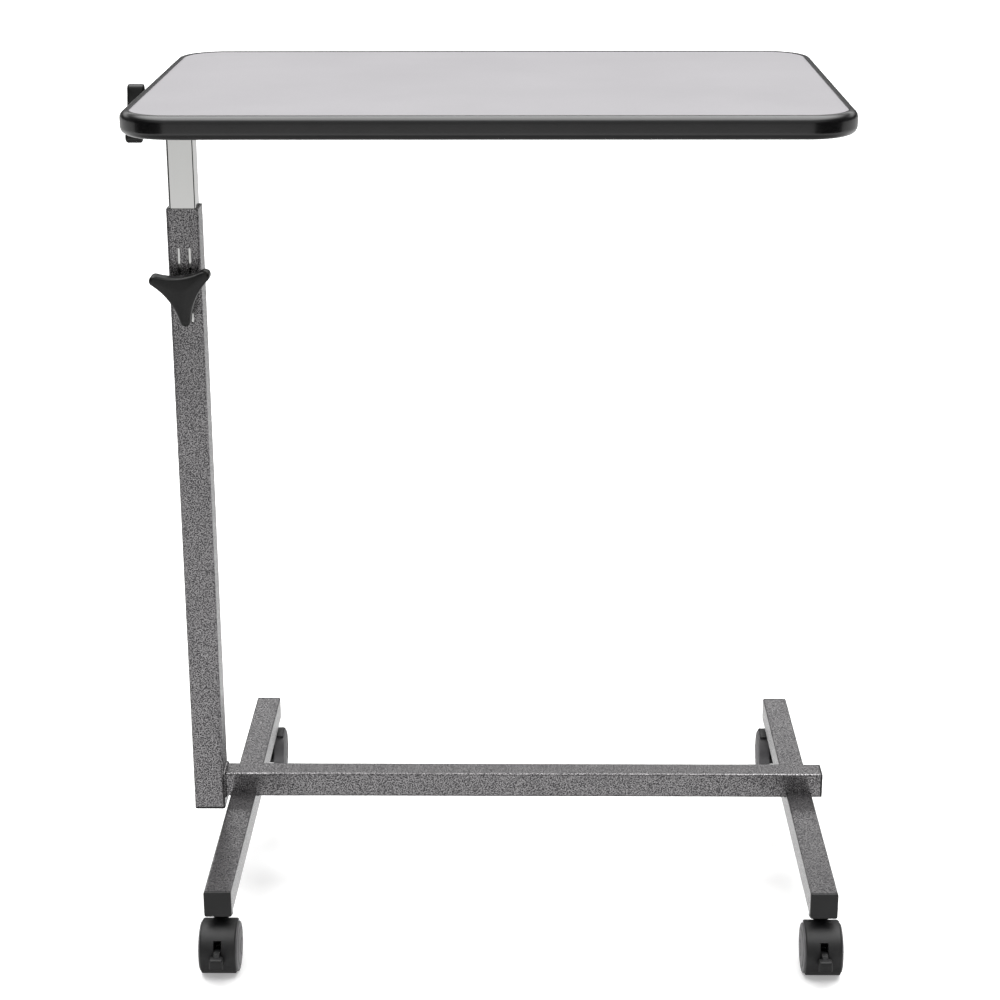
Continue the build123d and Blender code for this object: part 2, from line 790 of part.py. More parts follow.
def make_nodes():
    nodes = {
        "board_core": make_core(),
        "top_laminate": make_laminate(),
        "board_backing": make_backing(),
        "edge_trim": make_trim(),
        "front_rail": make_rail(-1),
        "rear_rail": make_rail(1),
        "rail_screws": make_rail_screws(),
        "rail_end_caps": make_rail_caps(),
        "tilt_bracket": make_bracket(),
        "bracket_welds": make_bracket_welds(),
        "pivot_bolt": make_pivot_bolt(),
        "friction_washers": make_friction_washers(),
        "tilt_washer": make_tilt_washer(),
        "tilt_knob": make_tilt_knob(),
        "tilt_knob_insert": make_tilt_insert(),
        "inner_tube": make_inner_tube(),
        "inner_tube_glide": make_inner_glide(),
        "pivot_spacer": make_pivot_spacer(),
        "outer_post": make_outer_post(),
        "guide_bush": make_guide_bush(),
        "post_bottom_cap": make_post_cap(),
        "clamp_strap": make_strap(),
        "clamp_nut": make_clamp_nut(),
        "height_pad": make_height_pad(),
        "height_stud": make_height_stud(),
        "height_knob": make_height_knob(),
        "base_bar": make_base_bar(),
        "bar_end_cap": make_bar_cap(),
        "post_weld": make_post_weld(),
        "foot_welds": make_foot_welds(),
    }
    for name, x in foot_xs.items():
        nodes[f"{name}_foot"] = make_foot(x)
        nodes[f"front_{name}_foot_cap"] = make_foot_cap(x, -1)
        nodes[f"rear_{name}_foot_cap"] = make_foot_cap(x, 1)
    spots = caster_spots()
    nodes["caster_stems"] = Compound(children=[make_stem(x, y) for _, x, y, _ in spots])
    nodes["caster_washers"] = Compound(children=[make_thrust_washer(x, y) for _, x, y, _ in spots])
    for name, x, y, heading in spots:
        placed = Pos(x, y, 0) * Rot(0, 0, heading)
        braked = name.startswith("front")
        nodes[f"{name}_caster_housing"] = placed * make_housing(braked)
        nodes[f"{name}_caster_axle"] = placed * make_axle()
        ahead_left = 1 if heading == 0 else -1
        nodes[f"{name}_caster_left_wheel"] = placed * make_wheel(ahead_left)
        nodes[f"{name}_caster_right_wheel"] = placed * make_wheel(-ahead_left)
        if braked:
            nodes[f"{name}_brake_lever"] = placed * make_lever()
    return nodes


os.makedirs("parts", exist_ok=True)
for node, shape in make_nodes().items():
    export_step(shape, f"parts/{node}.step")
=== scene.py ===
import math

import bmesh
import bpy
import numpy as np
from mathutils import Matrix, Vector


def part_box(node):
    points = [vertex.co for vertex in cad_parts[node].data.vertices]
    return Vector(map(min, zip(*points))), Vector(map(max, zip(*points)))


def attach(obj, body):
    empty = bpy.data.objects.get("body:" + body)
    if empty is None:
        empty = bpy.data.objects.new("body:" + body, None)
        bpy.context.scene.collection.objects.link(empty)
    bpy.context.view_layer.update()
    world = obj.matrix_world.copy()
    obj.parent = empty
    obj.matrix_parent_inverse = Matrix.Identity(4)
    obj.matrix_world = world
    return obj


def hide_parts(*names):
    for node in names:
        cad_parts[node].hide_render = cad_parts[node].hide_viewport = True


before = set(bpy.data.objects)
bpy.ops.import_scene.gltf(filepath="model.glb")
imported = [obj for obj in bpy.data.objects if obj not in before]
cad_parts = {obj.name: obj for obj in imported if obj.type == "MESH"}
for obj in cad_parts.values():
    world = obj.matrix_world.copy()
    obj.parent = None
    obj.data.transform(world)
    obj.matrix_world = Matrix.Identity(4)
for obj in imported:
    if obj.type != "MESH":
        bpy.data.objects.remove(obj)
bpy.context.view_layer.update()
mm = 0.001
print("loaded", len(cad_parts), "nodes")


# sRGB hex to linear colour
def linear(hexCode):
    parts = [int(hexCode[start:start + 2], 16) / 255 for start in (1, 3, 5)]
    return tuple(part / 12.92 if part <= 0.04045 else ((part + 0.055) / 1.055) ** 2.4
                 for part in parts) + (1.0,)


# an input that is given a socket is linked, any other value is set on it
def setInputs(tree, node, inputs):
    for name, value in inputs.items():
        if isinstance(value, bpy.types.NodeSocket):
            tree.links.new(value, node.inputs[name])
        else:
            node.inputs[name].default_value = value


# adds a node of the kind named, with its settings and links
def addNode(tree, kind, inputs=None, **settings):
    node = tree.nodes.new("ShaderNode" + kind)
    for name, value in settings.items():
        setattr(node, name, value)
    setInputs(tree, node, inputs or {})
    return node


def startMaterial(name, roughness, metallic=0.0, ior=None):
    material = bpy.data.materials.new(name)
    material.use_nodes = True
    tree = material.node_tree
    shader = tree.nodes["Principled BSDF"]
    setInputs(tree, shader, {"Roughness": roughness, "Metallic": metallic})
    if ior:
        setInputs(tree, shader, {"IOR": ior})
    place = addNode(tree, "TexCoord").outputs["Object"]
    return material, tree, shader, place


# a pattern's scale from its real size
def perMetre(millimetres):
    return 1000.0 / millimetres


# hammertone baked enamel over steel tube: aluminium flake in the paint gathers into worm-like ridges with
# hollows between them, so the grey breaks into a speckle of 1 to 2 mm with a soft metallic gloss, brighter
# on the ridges;
# the speckle's colour is partly the paint's own pattern and partly painted shade in the hollows and a
# painted highlight on the ridges
# the hollow colour carries painted shade and the ridge colour a painted highlight, on top of the paint's
# own speckle
hammertone = {"hollow": "#454446", "ridge": "#9d9b9c", "cellMm": 1.15, "cellDetail": 0.6, "wander": 0.7,
              "hollowBelow": 0.37, "ridgeAbove": 0.63, "driftMm": 45.0, "driftLow": 0.88, "driftHigh": 1.10,
              "depthMm": 0.05, "bump": 0.5, "roughness": 0.24, "glossSpread": 0.08, "metallic": 0.80,
              "ior": 1.5}


def makeHammertone():
    v = hammertone
    material, tree, shader, place = startMaterial("hammertoneEnamel", v["roughness"], v["metallic"],
                                                  v["ior"])
    cells = addNode(tree, "TexNoise", {
        "Vector": place, "Scale": perMetre(v["cellMm"]), "Detail": v["cellDetail"], "Roughness": 0.5,
        "Distortion": v["wander"]}).outputs["Fac"]
    spread = addNode(tree, "MapRange", {
        "Value": cells, "From Min": v["hollowBelow"], "From Max": v["ridgeAbove"]},
        interpolation_type="SMOOTHSTEP").outputs["Result"]
    # colour follows the pattern's height: painted shade in the hollows, painted highlight on the ridges
    speckleWithPaintedShade = addNode(tree, "Mix", {0: spread, 6: linear(v["hollow"]), 7: linear(v["ridge"])},
                      data_type="RGBA").outputs[2]
    drift = addNode(tree, "TexNoise", {
        "Vector": place, "Scale": perMetre(v["driftMm"]), "Detail": 2.0}).outputs["Fac"]
    shade = addNode(tree, "MapRange", {
        "Value": drift, "To Min": v["driftLow"], "To Max": v["driftHigh"]}).outputs["Result"]
    colour = addNode(tree, "VectorMath", {0: speckleWithPaintedShade, "Scale": shade}, operation="SCALE").outputs[0]
    gloss = addNode(tree, "MapRange", {
        "Value": spread, "To Min": v["roughness"] + v["glossSpread"],
        "To Max": v["roughness"] - v["glossSpread"]}).outputs["Result"]
    bump = addNode(tree, "Bump", {
        "Height": spread, "Strength": v["bump"], "Distance": v["depthMm"] * mm}).outputs["Normal"]
    setInputs(tree, shader, {"Base Color": colour, "Roughness": gloss, "Normal": bump})
    return material


# bright chromium plate on drawn tube: mirror-like, with faint draw lines along the tube, which are drawn
# 0.8 mm apart because the real ones are too fine to show
chrome = {"colour": "#ececea", "roughness": 0.06, "smoothest": -0.03, "roughest": 0.05, "lineMm": 0.8,
          "lineLengthMm": 120.0, "depthMm": 0.004, "bump": 0.3}


def makeChrome():
    v = chrome
    material, tree, shader, place = startMaterial("chromePlate", v["roughness"], 1.0)
    across, along = perMetre(v["lineMm"]), perMetre(v["lineLengthMm"])
    stretched = addNode(tree, "Mapping", {"Vector": place, "Scale": (across, across, along)})
    lines = addNode(tree, "TexNoise", {
        "Vector": stretched.outputs["Vector"], "Scale": 1.0, "Detail": 2.0}).outputs["Fac"]
    gloss = addNode(tree, "MapRange", {
        "Value": lines, "To Min": v["roughness"] + v["smoothest"],
        "To Max": v["roughness"] + v["roughest"]}).outputs["Result"]
    bump = addNode(tree, "Bump", {
        "Height": lines, "Strength": v["bump"], "Distance": v["depthMm"] * mm}).outputs["Normal"]
    setInputs(tree, shader, {"Base Color": linear(v["colour"]), "Roughness": gloss, "Normal": bump})
    return material


# high-pressure laminate, pressed against a fine-textured plate: an even neutral grey with a satin sheen
# and a grain of about 0.2 mm, drawn at 1.2 mm because the real size is too fine to show
laminate = {"colour": "#a19fa2", "fleck": "#9b999c", "fleckMm": 1.2, "cloudMm": 90.0, "fleckBelow": 0.7,
            "plainAbove": 1.3, "roughness": 0.42, "depthMm": 0.01, "bump": 0.25, "ior": 1.5}


def makeLaminate():
    v = laminate
    material, tree, shader, place = startMaterial("pressedLaminate", v["roughness"], ior=v["ior"])
    fine = addNode(tree, "TexNoise", {
        "Vector": place, "Scale": perMetre(v["fleckMm"]), "Detail": 2.0}).outputs["Fac"]
    cloud = addNode(tree, "TexNoise", {
        "Vector": place, "Scale": perMetre(v["cloudMm"]), "Detail": 3.0}).outputs["Fac"]
    both = addNode(tree, "Math", {0: fine, 1: cloud}, operation="ADD").outputs[0]
    amount = addNode(tree, "MapRange", {
        "Value": both, "From Min": v["fleckBelow"], "From Max": v["plainAbove"]}).outputs["Result"]
    colour = addNode(tree, "Mix", {0: amount, 6: linear(v["fleck"]), 7: linear(v["colour"])},
                     data_type="RGBA").outputs[2]
    bump = addNode(tree, "Bump", {
        "Height": fine, "Strength": v["bump"], "Distance": v["depthMm"] * mm}).outputs["Normal"]
    setInputs(tree, shader, {"Base Color": colour, "Normal": bump})
    return material


# moulded or extruded plastic: one even tone with spark-eroded grain and slightly paler patches where it
# is handled; the real grain is about 0.2 mm and is drawn at about 1 mm so that it shows; the edging alone
# has a glossy skin, left by the die
plastics = {
    "extrudedVinylEdge": {"colour": "#090809", "worn": "#0e0d0e", "grainMm": 0.9, "roughness": 0.30,
                          "depthMm": 0.004, "skin": 0.55},
    "mouldedNylonKnob": {"colour": "#0c0c0c", "worn": "#131313", "grainMm": 0.8, "roughness": 0.36,
                         "depthMm": 0.02, "skin": 0.0},
    "mouldedPolyethyleneCap": {"colour": "#141415", "worn": "#1c1c1d", "grainMm": 1.2, "roughness": 0.48,
                               "depthMm": 0.03, "skin": 0.0},
    "mouldedNylonGuide": {"colour": "#242425", "worn": "#2e2e30", "grainMm": 1.0, "roughness": 0.5,
                          "depthMm": 0.02, "skin": 0.0},
    "mouldedCasterHood": {"colour": "#131314", "worn": "#1c1c1d", "grainMm": 0.7, "roughness": 0.52,
                          "depthMm": 0.03, "skin": 0.0},
    "mouldedCasterWheel": {"colour": "#504f51", "worn": "#5f5e60", "grainMm": 0.9, "roughness": 0.46,
                           "depthMm": 0.03, "skin": 0.0},
}
moulding = {"skinRoughness": 0.16, "patchPerGrain": 25.0, "plainBelow": 0.4, "wornAbove": 0.75,
            "glossSpread": 0.06, "bump": 0.3, "ior": 1.49}


def makePlastic(name):
    v, shared = plastics[name], moulding
    material, tree, shader, place = startMaterial(name, v["roughness"], ior=shared["ior"])
    setInputs(tree, shader, {"Coat Weight": v["skin"], "Coat Roughness": shared["skinRoughness"]})
    grain = addNode(tree, "TexNoise", {
        "Vector": place, "Scale": perMetre(v["grainMm"]), "Detail": 3.0, "Roughness": 0.6}).outputs["Fac"]
    handling = addNode(tree, "TexNoise", {
        "Vector": place, "Scale": perMetre(shared["patchPerGrain"] * v["grainMm"]),
        "Detail": 2.0}).outputs["Fac"]
    amount = addNode(tree, "MapRange", {
        "Value": handling, "From Min": shared["plainBelow"],
        "From Max": shared["wornAbove"]}).outputs["Result"]
    colour = addNode(tree, "Mix", {0: amount, 6: linear(v["colour"]), 7: linear(v["worn"])},
                     data_type="RGBA").outputs[2]
    gloss = addNode(tree, "MapRange", {
        "Value": grain, "To Min": v["roughness"] - shared["glossSpread"],
        "To Max": v["roughness"] + shared["glossSpread"]}).outputs["Result"]
    bump = addNode(tree, "Bump", {
        "Height": grain, "Strength": shared["bump"], "Distance": v["depthMm"] * mm}).outputs["Normal"]
    setInputs(tree, shader, {"Base Color": colour, "Roughness": gloss, "Normal": bump})
    return material


# zinc plate on turned and pressed steel: pale blue-grey metal, blotched by the passivation
zinc = {"colour": "#b9bcc1", "blotch": "#9ea2a8", "blotchMm": 5.0, "roughness": 0.34, "smoothest": -0.08,
        "roughest": 0.10}


def makeZinc():
    v = zinc
    material, tree, shader, place = startMaterial("zincPlatedSteel", v["roughness"], 1.0)
    blotch = addNode(tree, "TexNoise", {
        "Vector": place, "Scale": perMetre(v["blotchMm"]), "Detail": 3.0}).outputs["Fac"]
    colour = addNode(tree, "Mix", {0: blotch, 6: linear(v["colour"]), 7: linear(v["blotch"])},
                     data_type="RGBA").outputs[2]
    gloss = addNode(tree, "MapRange", {
        "Value": blotch, "To Min": v["roughness"] + v["smoothest"],
        "To Max": v["roughness"] + v["roughest"]}).outputs["Result"]
    setInputs(tree, shader, {"Base Color": colour, "Roughness": gloss})
    return material


# black powder coat: satin, with the slight orange peel of melted powder
powder = {"colour": "#1b1c1d", "peelMm": 1.6, "roughness": 0.42, "depthMm": 0.04, "bump": 0.4, "ior": 1.5}


def makePowderCoat():
    v = powder
    material, tree, shader, place = startMaterial("powderCoatedSteel", v["roughness"], ior=v["ior"])
    peel = addNode(tree, "TexNoise", {
        "Vector": place, "Scale": perMetre(v["peelMm"]), "Detail": 1.0}).outputs["Fac"]
    bump = addNode(tree, "Bump", {
        "Height": peel, "Strength": v["bump"], "Distance": v["depthMm"] * mm}).outputs["Normal"]
    setInputs(tree, shader, {"Base Color": linear(v["colour"]), "Normal": bump})
    return material


# particle board: pressed wood chips, each chip its own shade of straw brown
chips = {"pale": "#c9ac7c", "dark": "#8a6a42", "chipMm": 2.6, "roughness": 0.8, "depthMm": 0.2, "bump": 0.5}


def makeParticleBoard():
    v = chips
    material, tree, shader, place = startMaterial("pressedParticleBoard", v["roughness"])
    cell = addNode(tree, "TexVoronoi", {"Vector": place, "Scale": perMetre(v["chipMm"])})
    tone = addNode(tree, "SeparateColor", {"Color": cell.outputs["Color"]}).outputs["Red"]
    colour = addNode(tree, "Mix", {0: tone, 6: linear(v["pale"]), 7: linear(v["dark"])},
                     data_type="RGBA").outputs[2]
    bump = addNode(tree, "Bump", {
        "Height": cell.outputs["Distance"], "Strength": v["bump"],
        "Distance": v["depthMm"] * mm}).outputs["Normal"]
    setInputs(tree, shader, {"Base Color": colour, "Normal": bump})
    return material


# balancing sheet: unprinted resin paper, a matt grey-brown with paper fibre in it
backing = {"colour": "#9d9a95", "fibre": "#8b8883", "fibreMm": 2.0, "wander": 1.5, "roughness": 0.62}


def makeBacking():
    v = backing
    material, tree, shader, place = startMaterial("resinPaperBacking", v["roughness"])
    fibre = addNode(tree, "TexNoise", {
        "Vector": place, "Scale": perMetre(v["fibreMm"]), "Detail": 4.0,
        "Distortion": v["wander"]}).outputs["Fac"]
    colour = addNode(tree, "Mix", {0: fibre, 6: linear(v["colour"]), 7: linear(v["fibre"])},
                     data_type="RGBA").outputs[2]
    setInputs(tree, shader, {"Base Color": colour})
    return material


hammertoneEnamel = makeHammertone()
chromePlate = makeChrome()
pressedLaminate = makeLaminate()
vinylEdge = makePlastic("extrudedVinylEdge")
nylonKnob = makePlastic("mouldedNylonKnob")
endCap = makePlastic("mouldedPolyethyleneCap")
nylonGuide = makePlastic("mouldedNylonGuide")
casterHood = makePlastic("mouldedCasterHood")
casterWheel = makePlastic("mouldedCasterWheel")
zincSteel = makeZinc()
powderCoat = makePowderCoat()
particleBoard = makeParticleBoard()
resinPaper = makeBacking()

# the finish for each of the record's material slots
finishOf = {
    "hammertone_tube": hammertoneEnamel, "chrome_tube": chromePlate, "black_cap": endCap,
    "grey_laminate": pressedLaminate, "backing_sheet": resinPaper, "particle_board": particleBoard,
    "black_edge": vinylEdge, "black_knob": nylonKnob, "zinc_steel": zincSteel,
    "black_bracket": powderCoat, "nylon_guide": nylonGuide, "caster_hood": casterHood,
    "caster_wheel": casterWheel,
}
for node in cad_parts.values():
    for holder in node.material_slots:
        holder.material = finishOf[holder.material.name.split(".")[0]]
print("materials done")


mergeMm = 0.002  # points of a grid closer than this are one point


# grids of points, each (rows, columns, 3) in metres, become the closed skins of one piece; a grid's
# rows or columns are joined last to first where its flags say so, and rows that shrink to a point
# close it
def addPiece(name, grids, body, finish, nodes, sharpDegrees=30.0):
    whole = bmesh.new()
    for grid, wrapRows, wrapColumns in grids:
        rows, columns = grid.shape[:2]
        row = np.arange(rows if wrapRows else rows - 1)[:, None]
        column = np.arange(columns if wrapColumns else columns - 1)[None, :]
        below, beside = (row + 1) % rows, (column + 1) % columns
        quads = np.stack([row * columns + column, below * columns + column,
                          below * columns + beside, row * columns + beside], -1)
        skin = bpy.data.meshes.new("skin")
        skin.from_pydata(grid.reshape(-1, 3).tolist(), [], quads.reshape(-1, 4).tolist())
        part = bmesh.new()
        part.from_mesh(skin)
        bmesh.ops.remove_doubles(part, verts=part.verts, dist=mergeMm * mm)
        bmesh.ops.recalc_face_normals(part, faces=part.faces)
        part.to_mesh(skin)
        part.free()
        whole.from_mesh(skin)
        bpy.data.meshes.remove(skin)
    mesh = bpy.data.meshes.new(name)
    whole.to_mesh(mesh)
    whole.free()
    mesh.polygons.foreach_set("use_smooth", np.ones(len(mesh.polygons), bool))
    mesh.set_sharp_from_angle(angle=math.radians(sharpDegrees))
    mesh.materials.append(finish)
    piece = bpy.data.objects.new(name, mesh)
    bpy.context.scene.collection.objects.link(piece)
    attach(piece, body)
    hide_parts(*nodes)


# the middle of a node's box at rest
def middle(node):
    low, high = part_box(node)
    return (low + high) / 2


# outline of a rounded rectangle, walked anticlockwise: for each of its four sides a quarter turn of the
# corner (corner's centre plus radius times the direction), then the straight to the next corner;
# returns the points and the outward directions
def roundedOutline(halfX, halfY, radius, cornerSteps, straightSteps):
    quarter = np.radians(np.linspace(0, 90, cornerSteps))
    corners = [np.array([signX * (halfX - radius), signY * (halfY - radius)])
               for signX, signY in ((1, 1), (-1, 1), (-1, -1), (1, -1))]
    along = np.linspace(0, 1, straightSteps + 2)[1:-1, None]
    points, outward = [], []
    for side in range(4):
        turn = side * math.pi / 2
        facing = np.stack([np.cos(quarter + turn), np.sin(quarter + turn)], -1)
        start = corners[side] + radius * facing
        stop = corners[(side + 1) % 4] + radius * facing[-1]
        points += [start, start[-1] + along * (stop - start[-1])]
        outward += [facing, np.repeat(facing[-1:], straightSteps, 0)]
    return np.concatenate(points), np.concatenate(outward)


# a ring of points in the plane with its height beside it
def atHeight(ring, height):
    return np.concatenate([ring, np.full((len(ring), 1), height)], -1)


# the board that the edging and the laminate go round
board = {"cornerMm": 37.0, "cornerSteps": 40}

# the table's edging is a section carried round the board: each of its points stands across from the
# board's outline along the outward direction, and up or down from the middle height; the section is two
# quarter circles joined by a short straight, with a low lip beside the laminate and a barb on its back
edging = {"widthMm": 8.0, "lipMm": 1.3, "lipDropMm": 1.2, "lipEaseMm": 0.3, "seatMm": 0.02, "barbMm": 6.0,
          "barbHalfMm": 1.1, "barbTaper": 0.6, "roundSteps": 14, "sharpDegrees": 50}


def makeEdging():
    v = edging
    low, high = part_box("board_backing")
    base, top = (corner.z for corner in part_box("edge_trim"))
    centre = (low + high) / 2
    halfX, halfY, halfZ = (high.x - low.x) / 2, (high.y - low.y) / 2, (top - base) / 2
    path, outward = roundedOutline(halfX, halfY, board["cornerMm"] * mm, board["cornerSteps"], 1)
    turn = np.radians(np.linspace(90, 0, v["roundSteps"]))
    radius = v["widthMm"] * mm - v["lipMm"] * mm
    straight = halfZ - radius
    reach = v["lipMm"] * mm + radius * np.concatenate([np.cos(turn), np.cos(turn[::-1])])
    rise = np.concatenate([straight + radius * np.sin(turn), -straight - radius * np.sin(turn[::-1])])
    seat, ease, drop = v["seatMm"] * mm, v["lipEaseMm"] * mm, v["lipDropMm"] * mm
    barbReach, barbHalf = -v["barbMm"] * mm, v["barbHalfMm"] * mm
    barb = [(seat, -barbHalf), (barbReach, -barbHalf * v["barbTaper"]),
            (barbReach, barbHalf * v["barbTaper"]), (seat, barbHalf)]
    lip = [(seat, halfZ - drop), (seat, halfZ - ease), (ease, halfZ)]
    section = np.concatenate([lip, np.stack([reach, rise], -1), [(seat, -halfZ)], barb])
    flat = path[:, None] + outward[:, None] * section[None, :, :1] + (centre.x, centre.y)
    height = np.broadcast_to(section[None, :, 1:] + (base + top) / 2, flat.shape[:2] + (1,))
    grid = np.concatenate([flat, height], -1)
    addPiece("vinylEdging", [(grid, True, True)], "tabletop", vinylEdge, ["edge_trim"],
             v["sharpDegrees"])


# the laminate: the board's outline drawn in level by level, flat up to its rim, where the height falls
# by the square of the way out over the bevel
laminateRim = {"bevelMm": 3.0, "dropMm": 0.6, "shares": (1, 0.75, 0.5, 0.25, 0), "sharpDegrees": 25}


def makeLaminateSheet():
    v = laminateRim
    low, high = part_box("top_laminate")
    centre = (low + high) / 2
    path, outward = roundedOutline((high.x - low.x) / 2, (high.y - low.y) / 2, board["cornerMm"] * mm,
                                   board["cornerSteps"], 1)
    bevel, drop = v["bevelMm"] * mm, v["dropMm"] * mm
    levels = [(path - outward * (bevel * share), high.z - drop * (1 - share) ** 2) for share in v["shares"]]
    levels = [(path * 0, high.z)] + levels + [(path, low.z), (path * 0, low.z)]
    grid = np.stack([atHeight(ring + (centre.x, centre.y), z) for ring, z in levels])
    addPiece("laminateSheet", [(grid, False, True)], "tabletop", pressedLaminate,
             ["top_laminate"], v["sharpDegrees"])


# three-lobed clamp knob, its body drawn in over rounded rims and ending in a bored neck
clampKnob = {"lobes": 3, "reachMm": 31.5, "tipMm": 5.0, "waistMm": 14.0, "thicknessMm": 16.0,
             "frontRoundMm": 2.8, "backRoundMm": 2.2, "crownMm": 0.5,
             "faceShares": (0, 0.3, 0.6, 0.85, 0.95), "neckMm": 8.5, "collarMm": 0.8, "easeMm": 0.5,
             "studBoreMm": 4.02, "looseMm": 0.02,
             "boltRoomMm": 4.5, "boltPastMm": 0.3, "heightTurnDegrees": 35.5, "tiltTurnDegrees": 0,
             "columns": 240, "frontSteps": 8, "backSteps": 7, "sharpDegrees": 40}


# each lobe's tip is an arc and each side a hollow arc tangent to two tips, so the radius follows from the
# angle: on a tip it is the tip centre's share of the ray plus the rest of the tip's circle, and on a side
# it is the side centre's share less the rest of the hollow's circle
def lobedOutline(turnDegrees):
    v = clampKnob
    step = 2 * math.pi / v["lobes"]
    tipCentre = v["reachMm"] - v["tipMm"]
    inset = v["waistMm"] - v["tipMm"]
    side = (tipCentre ** 2 - inset ** 2) / (2 * (tipCentre * math.cos(step / 2) - inset))
    hollow = side - v["waistMm"]
    share = v["tipMm"] / (v["tipMm"] + hollow)
    joinX = tipCentre + share * (side * math.cos(step / 2) - tipCentre)
    joinY = share * side * math.sin(step / 2)
    angle = np.linspace(0, 2 * math.pi, v["columns"], endpoint=False)
    fromLobe = np.abs((angle + step / 2) % step - step / 2)
    fromSide = step / 2 - fromLobe
    onTip = tipCentre * np.cos(fromLobe) + np.sqrt(
        (v["tipMm"] ** 2 - (tipCentre * np.sin(fromLobe)) ** 2).clip(0))
    onSide = side * np.cos(fromSide) - np.sqrt((hollow ** 2 - (side * np.sin(fromSide)) ** 2).clip(0))
    radius = np.where(fromLobe < math.atan2(joinY, joinX), onTip, onSide)
    turned = angle + math.radians(turnDegrees)
    circle = np.stack([np.cos(turned), np.sin(turned)], -1)
    outline = circle * radius[:, None]
    along = np.roll(outline, -1, 0) - np.roll(outline, 1, 0)
    outward = np.stack([along[:, 1], -along[:, 0]], -1)
    return outline, outward / np.linalg.norm(outward, axis=1, keepdims=True), circle


# the knob as rings up its axis: the face sinks by the square of the way out, both rims are quarter
# circles drawn in from the outline, and the neck and its bores are circles
def knobGrid(neck, turnDegrees, bores):
    v = clampKnob
    outline, outward, circle = lobedOutline(turnDegrees)
    top = neck + v["thicknessMm"]
    front, back, collar = v["frontRoundMm"], v["backRoundMm"], v["collarMm"]
    face = outline - outward * front
    rows = [(face * share, top - v["crownMm"] * share ** 2) for share in v["faceShares"]]
    rows += [(outline - outward * front * (1 - math.sin(a)), top - v["crownMm"] - front * (1 - math.cos(a)))
             for a in np.radians(np.linspace(0, 90, v["frontSteps"]))]
    rows += [(outline - outward * back * (1 - math.cos(a)), neck + back * (1 - math.sin(a)))
             for a in np.radians(np.linspace(0, 90, v["backSteps"]))]
    rows += [(circle * (v["neckMm"] + collar), neck), (circle * v["neckMm"], neck - collar),
             (circle * v["neckMm"], v["easeMm"]), (circle * (v["neckMm"] - v["easeMm"]), 0)]
    depth = 0
    for radius, end in bores:
        rows += [(circle * radius, depth), (circle * radius, end)]
        depth = end
    rows.append((circle * 0, depth))
    return np.stack([atHeight(ring, z) for ring, z in rows])


def makeKnobs():
    v = clampKnob
    low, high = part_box("height_knob")
    axis = middle("height_stud")
    studEnd = (high.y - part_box("height_stud")[0].y) / mm
    neck = (high.y - low.y) / mm - v["thicknessMm"]
    grid = knobGrid(neck, v["heightTurnDegrees"], [(v["studBoreMm"], studEnd + v["looseMm"])])
    turned = np.stack([grid[..., 0], -grid[..., 2], grid[..., 1]], -1) * mm + (axis.x, high.y, axis.z)
    addPiece("heightClampKnob", [(turned, False, True)], "height_knob", nylonKnob,
             ["height_knob"], v["sharpDegrees"])
    low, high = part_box("tilt_knob")
    axis = middle("pivot_bolt")
    insertLow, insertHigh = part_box("tilt_knob_insert")
    boltEnd = (high.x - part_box("pivot_bolt")[0].x) / mm
    neck = (high.x - low.x) / mm - v["thicknessMm"]
    bores = [((insertHigh.z - insertLow.z) / 2 / mm + v["looseMm"], (insertHigh.x - insertLow.x) / mm),
             (v["boltRoomMm"], boltEnd + v["boltPastMm"])]
    grid = knobGrid(neck, v["tiltTurnDegrees"], bores)
    turned = np.stack([-grid[..., 2], grid[..., 1], grid[..., 0]], -1) * mm + (high.x, axis.y, axis.z)
    addPiece("tiltClampKnob", [(turned, False, True)], "tilt_knob", nylonKnob,
             ["tilt_knob"], v["sharpDegrees"])


# a wheel is a profile of (radius, distance out from its inner face) turned about the axle: hub disc,
# groove, shallow dome, a moulded ring, rounded tread, and a hollow back with the bore; the dome sinks by
# the square of the radius, and a groove is pairs of (distance past its circle, depth)
wheel = {"domeMm": 1.6, "domeStopsMm": (7.9, 10.1, 12.5, 16.7), "roundMm": 1.3, "discMm": 6.6,
         "discGroove": ((-0.6, 0), (0, 0.15), (0.2, 0.75), (0.9, 0.8)), "ringMm": 17.6,
         "ringGroove": ((-0.5, 0.45), (0.5, 0.45), (0.9, 0.05)), "rimMm": 3.8, "recessMm": 2.5,
         "wallSlantMm": 1, "hubMm": 8.0, "boreMm": 3.05, "boreEndMm": 9.7, "columns": 84, "roundSteps": 6,
         "sharpDegrees": 35}


def makeWheel(node, body, carrier):
    v = wheel
    low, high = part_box(node)
    hub = (low + high) / 2
    side = 1 if hub.x > middle(carrier).x else -1
    inner = low.x if side > 0 else high.x
    wide = (high.x - low.x) / mm
    radius = (high.z - low.z) / 2 / mm
    flank, rim, slant = radius - v["roundMm"], radius - v["rimMm"], v["wallSlantMm"]
    ringOut = wide - v["domeMm"] * (v["ringMm"] / flank) ** 2
    profile = [(0, wide)] + [(v["discMm"] + past, wide - depth) for past, depth in v["discGroove"]]
    profile += [(stop, wide - v["domeMm"] * (stop / flank) ** 2) for stop in v["domeStopsMm"]]
    profile += [(v["ringMm"] + past, ringOut - depth) for past, depth in v["ringGroove"]]
    profile += [(flank + v["roundMm"] * math.cos(a), wide - v["domeMm"] - v["roundMm"] * (1 - math.sin(a)))
                for a in np.radians(np.linspace(90, 0, v["roundSteps"]))]
    profile += [(radius, v["roundMm"]), (flank, 0), (rim, 0), (rim - slant, v["recessMm"]),
                (v["hubMm"] + slant, v["recessMm"]), (v["hubMm"], 0), (v["boreMm"], 0),
                (v["boreMm"], v["boreEndMm"]), (0, v["boreEndMm"])]
    out, across = np.array(profile)[:, None, 1] * mm, np.array(profile)[:, None, 0] * mm
    angle = np.linspace(0, 2 * math.pi, v["columns"], endpoint=False)
    grid = np.stack(np.broadcast_arrays(inner + side * out, hub.y + across * np.cos(angle),
                                        hub.z + across * np.sin(angle)), -1)
    addPiece(node + "Shape", [(grid, False, True)], body, casterWheel, [node],
             v["sharpDegrees"])


